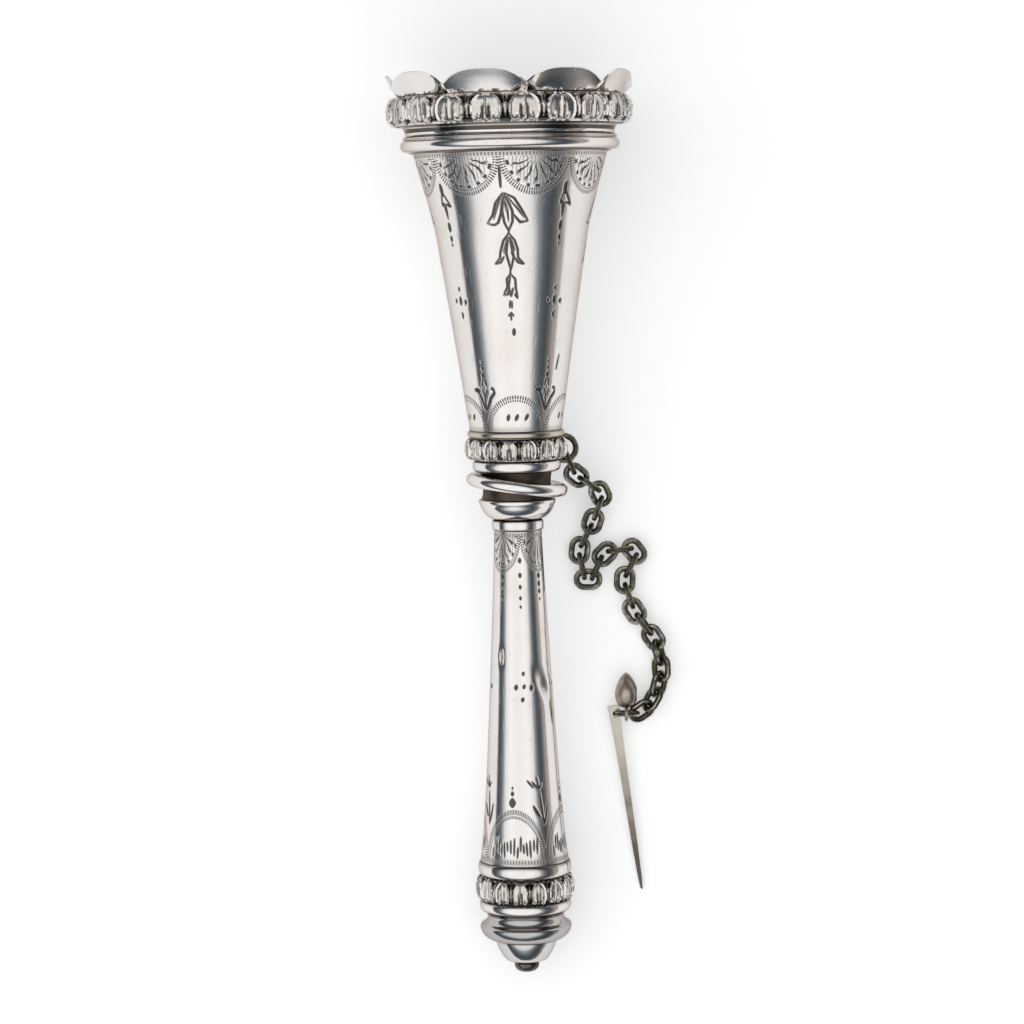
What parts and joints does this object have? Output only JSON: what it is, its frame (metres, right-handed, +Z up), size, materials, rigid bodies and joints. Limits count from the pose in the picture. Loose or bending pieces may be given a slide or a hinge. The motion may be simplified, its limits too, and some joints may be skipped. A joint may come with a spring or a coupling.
{
  "type": "posy holder",
  "caption": "Silver trumpet posy holder with a scalloped leafy mouth, engraved cone and handle, loose neck ring and a chain that carries a stem pin and a bud drop.",
  "frame": {"origin": "centre of the bounding box, on the surface that it lies on", "axes": "+Z up from the surface it lies on, +Y along the holder towards its mouth, +X towards the chain's side"},
  "size_m": [0.0446, 0.1476, 0.0393],
  "materials": {
    "polished_silver": "polished, lightly tarnished",
    "engraved_silver": "hand engraved, polished and worn",
    "leaf_silver": "cast, with dark recesses",
    "oxidised_silver": "dark oxidised with bright edges",
    "aged_silver": "dull brownish grey",
    "pin_silver": "satin",
    "plain_silver": "plain"
  },
  "bodies": {
    "holder": {"finial_knob": "polished_silver", "base_cup": "polished_silver", "base_flange": "polished_silver", "base_ring": "polished_silver", "base_leaf_band": "leaf_silver", "base_bead_ring": "polished_silver", "handle_tube": "engraved_silver", "neck_bead": "polished_silver", "knop_cup": "polished_silver", "neck_spool": "plain_silver", "neck_collar": "polished_silver", "neck_leaf_band": "leaf_silver", "cone_foot_ring": "polished_silver", "cone": "engraved_silver", "cone_floor": "plain_silver", "rim_moulding": "polished_silver", "rim_leaf_band": "leaf_silver", "rim_petals": "polished_silver", "tie_rod": "plain_silver", "rod_washer": "plain_silver", "rod_nut": "plain_silver", "chain_lug": "oxidised_silver"},
    "loose_ring": {"loose_ring": "polished_silver"},
    "chain_link_01": {"chain_link_01": "oxidised_silver"},
    "chain_link_02": {"chain_link_02": "oxidised_silver"},
    "chain_link_03": {"chain_link_03": "oxidised_silver"},
    "chain_link_04": {"chain_link_04": "oxidised_silver"},
    "chain_link_05": {"chain_link_05": "oxidised_silver"},
    "chain_link_06": {"chain_link_06": "oxidised_silver"},
    "chain_link_07": {"chain_link_07": "oxidised_silver"},
    "chain_link_08": {"chain_link_08": "oxidised_silver"},
    "chain_link_09": {"chain_link_09": "oxidised_silver"},
    "chain_link_10": {"chain_link_10": "oxidised_silver"},
    "chain_link_11": {"chain_link_11": "oxidised_silver"},
    "chain_link_12": {"chain_link_12": "oxidised_silver"},
    "chain_link_13": {"chain_link_13": "oxidised_silver"},
    "chain_link_14": {"chain_link_14": "oxidised_silver"},
    "chain_link_15": {"chain_link_15": "oxidised_silver"},
    "chain_link_16": {"chain_link_16": "oxidised_silver"},
    "chain_link_17": {"chain_link_17": "oxidised_silver"},
    "chain_link_18": {"chain_link_18": "oxidised_silver"},
    "chain_link_19": {"chain_link_19": "oxidised_silver"},
    "chain_link_20": {"chain_link_20": "oxidised_silver"},
    "chain_link_21": {"chain_link_21": "oxidised_silver"},
    "chain_link_22": {"chain_link_22": "oxidised_silver"},
    "chain_link_23": {"chain_link_23": "oxidised_silver"},
    "chain_link_24": {"chain_link_24": "oxidised_silver"},
    "chain_link_25": {"chain_link_25": "oxidised_silver"},
    "jump_ring": {"jump_ring": "oxidised_silver"},
    "stem_pin": {"stem_pin": "pin_silver"},
    "bud_drop": {"bud_drop": "aged_silver"}
  },
  "joints": [
    {"name": "ring_turn", "type": "hinge", "parent": "holder", "child": "loose_ring", "pos_m": [-0.00266, 0.0062, 0.01417], "axis": [0.1392, 0.9861, 0.0906], "continuous": true},
    {"name": "link_01_turn", "type": "hinge", "parent": "holder", "child": "chain_link_01", "pos_m": [0.00541, 0.01143, 0.00809], "axis": [0.1392, 0, 0.9903], "range_deg": [-5, 45]},
    {"name": "link_02_drape", "type": "hinge", "parent": "chain_link_01", "child": "chain_link_02", "pos_m": [0.00627, 0.00929, 0.00712], "axis": [0.9272, 0.3746, 0], "range_deg": [-45, 45]},
    {"name": "link_03_turn", "type": "hinge", "parent": "chain_link_02", "child": "chain_link_03", "pos_m": [0.00764, 0.0072, 0.00628], "axis": [0.2403, -0.2241, 0.9445], "range_deg": [-5, 45]},
    {"name": "link_04_drape", "type": "hinge", "parent": "chain_link_03", "child": "chain_link_04", "pos_m": [0.00975, 0.00577, 0.00539], "axis": [-0.5592, -0.829, 0], "range_deg": [-45, 45]},
    {"name": "link_05_turn", "type": "hinge", "parent": "chain_link_04", "child": "chain_link_05", "pos_m": [0.01134, 0.00392, 0.00451], "axis": [0.129, -0.3361, 0.9329], "range_deg": [-5, 45]},
    {"name": "link_06_drape", "type": "hinge", "parent": "chain_link_05", "child": "chain_link_06", "pos_m": [0.01053, 0.00169, 0.00335], "axis": [0.9397, -0.342, 0], "range_deg": [-45, 45]},
    {"name": "link_07_turn", "type": "hinge", "parent": "chain_link_06", "child": "chain_link_07", "pos_m": [0.00961, -0.00066, 0.00237], "axis": [0.1407, 0.3314, -0.9329], "range_deg": [-45, 45]},
    {"name": "link_08_drape", "type": "hinge", "parent": "chain_link_07", "child": "chain_link_08", "pos_m": [0.00839, -0.00296, 0.00184], "axis": [-0.8829, 0.4695, 0], "range_deg": [-45, 45]},
    {"name": "link_09_turn", "type": "hinge", "parent": "chain_link_08", "child": "chain_link_09", "pos_m": [0.00746, -0.00546, 0.00184], "axis": [0, 0, -1], "range_deg": [-8, 11]},
    {"name": "link_10_drape", "type": "hinge", "parent": "chain_link_09", "child": "chain_link_10", "pos_m": [0.00797, -0.00811, 0.00184], "axis": [0.9816, 0.1908, 0], "range_deg": [-45, 45]},
    {"name": "link_11_turn", "type": "hinge", "parent": "chain_link_10", "child": "chain_link_11", "pos_m": [0.00945, -0.00969, 0.00184], "axis": [0, 0, -1], "range_deg": [0, 11]},
    {"name": "link_12_drape", "type": "hinge", "parent": "chain_link_11", "child": "chain_link_12", "pos_m": [0.0106, -0.00724, 0.00184], "axis": [-0.9063, 0.4226, 0], "range_deg": [-45, 45]},
    {"name": "link_13_turn", "type": "hinge", "parent": "chain_link_12", "child": "chain_link_13", "pos_m": [0.01216, -0.00512, 0.00184], "axis": [0, 0, -1], "range_deg": [-45, 11]},
    {"name": "link_14_drape", "type": "hinge", "parent": "chain_link_13", "child": "chain_link_14", "pos_m": [0.01485, -0.00484, 0.00184], "axis": [-0.1045, 0.9945, 0], "range_deg": [-45, 45]},
    {"name": "link_15_turn", "type": "hinge", "parent": "chain_link_14", "child": "chain_link_15", "pos_m": [0.01701, -0.00568, 0.00184], "axis": [0, 0, -1], "range_deg": [-45, 11]},
    {"name": "link_16_drape", "type": "hinge", "parent": "chain_link_15", "child": "chain_link_16", "pos_m": [0.01574, -0.00806, 0.00184], "axis": [-0.8829, 0.4695, 0], "range_deg": [-45, 45]},
    {"name": "link_17_turn", "type": "hinge", "parent": "chain_link_16", "child": "chain_link_17", "pos_m": [0.01491, -0.01058, 0.00184], "axis": [0, 0, 1], "range_deg": [-11, 45]},
    {"name": "link_18_drape", "type": "hinge", "parent": "chain_link_17", "child": "chain_link_18", "pos_m": [0.01575, -0.01315, 0.00184], "axis": [-0.9511, -0.309, 0], "range_deg": [-45, 45]},
    {"name": "link_19_turn", "type": "hinge", "parent": "chain_link_18", "child": "chain_link_19", "pos_m": [0.01677, -0.01564, 0.00184], "axis": [0, 0, -1], "range_deg": [-45, 14]},
    {"name": "link_20_drape", "type": "hinge", "parent": "chain_link_19", "child": "chain_link_20", "pos_m": [0.01836, -0.01782, 0.00184], "axis": [-0.7967, -0.5789, -0.1736], "range_deg": [-45, 45]},
    {"name": "link_21_turn", "type": "hinge", "parent": "chain_link_20", "child": "chain_link_21", "pos_m": [0.01981, -0.02009, 0.00189], "axis": [-0.2703, -0.1498, 0.9511], "range_deg": [-45, 45]},
    {"name": "link_22_drape", "type": "hinge", "parent": "chain_link_21", "child": "chain_link_22", "pos_m": [0.02048, -0.0227, 0.00178], "axis": [0.8758, 0.2022, 0.4384], "range_deg": [-45, 45]},
    {"name": "link_23_turn", "type": "hinge", "parent": "chain_link_22", "child": "chain_link_23", "pos_m": [0.0207, -0.02537, 0.00197], "axis": [-0.5877, 0.0103, 0.809], "range_deg": [-45, 45]},
    {"name": "link_24_drape", "type": "hinge", "parent": "chain_link_23", "child": "chain_link_24", "pos_m": [0.02008, -0.02798, 0.00179], "axis": [-0.6879, 0.2103, -0.6947], "range_deg": [-45, 45]},
    {"name": "link_25_turn", "type": "hinge", "parent": "chain_link_24", "child": "chain_link_25", "pos_m": [0.01878, -0.03032, 0.00202], "axis": [-0.6425, 0.4172, 0.6428], "range_deg": [-45, 45]},
    {"name": "jump_ring_turn", "type": "hinge", "parent": "chain_link_25", "child": "jump_ring", "pos_m": [0.01678, -0.03205, 0.00176], "axis": [0.2575, -0.4286, 0.866], "range_deg": [-17, 45]},
    {"name": "pin_swing", "type": "hinge", "parent": "jump_ring", "child": "stem_pin", "pos_m": [0.01277, -0.03205, 0.00234], "axis": [0, 0, 1], "range_deg": [-26, 35]},
    {"name": "bud_swing", "type": "hinge", "parent": "jump_ring", "child": "bud_drop", "pos_m": [0.01467, -0.03205, 0.00424], "axis": [-1, 0, 0], "range_deg": [-80, 0]}
  ]
}
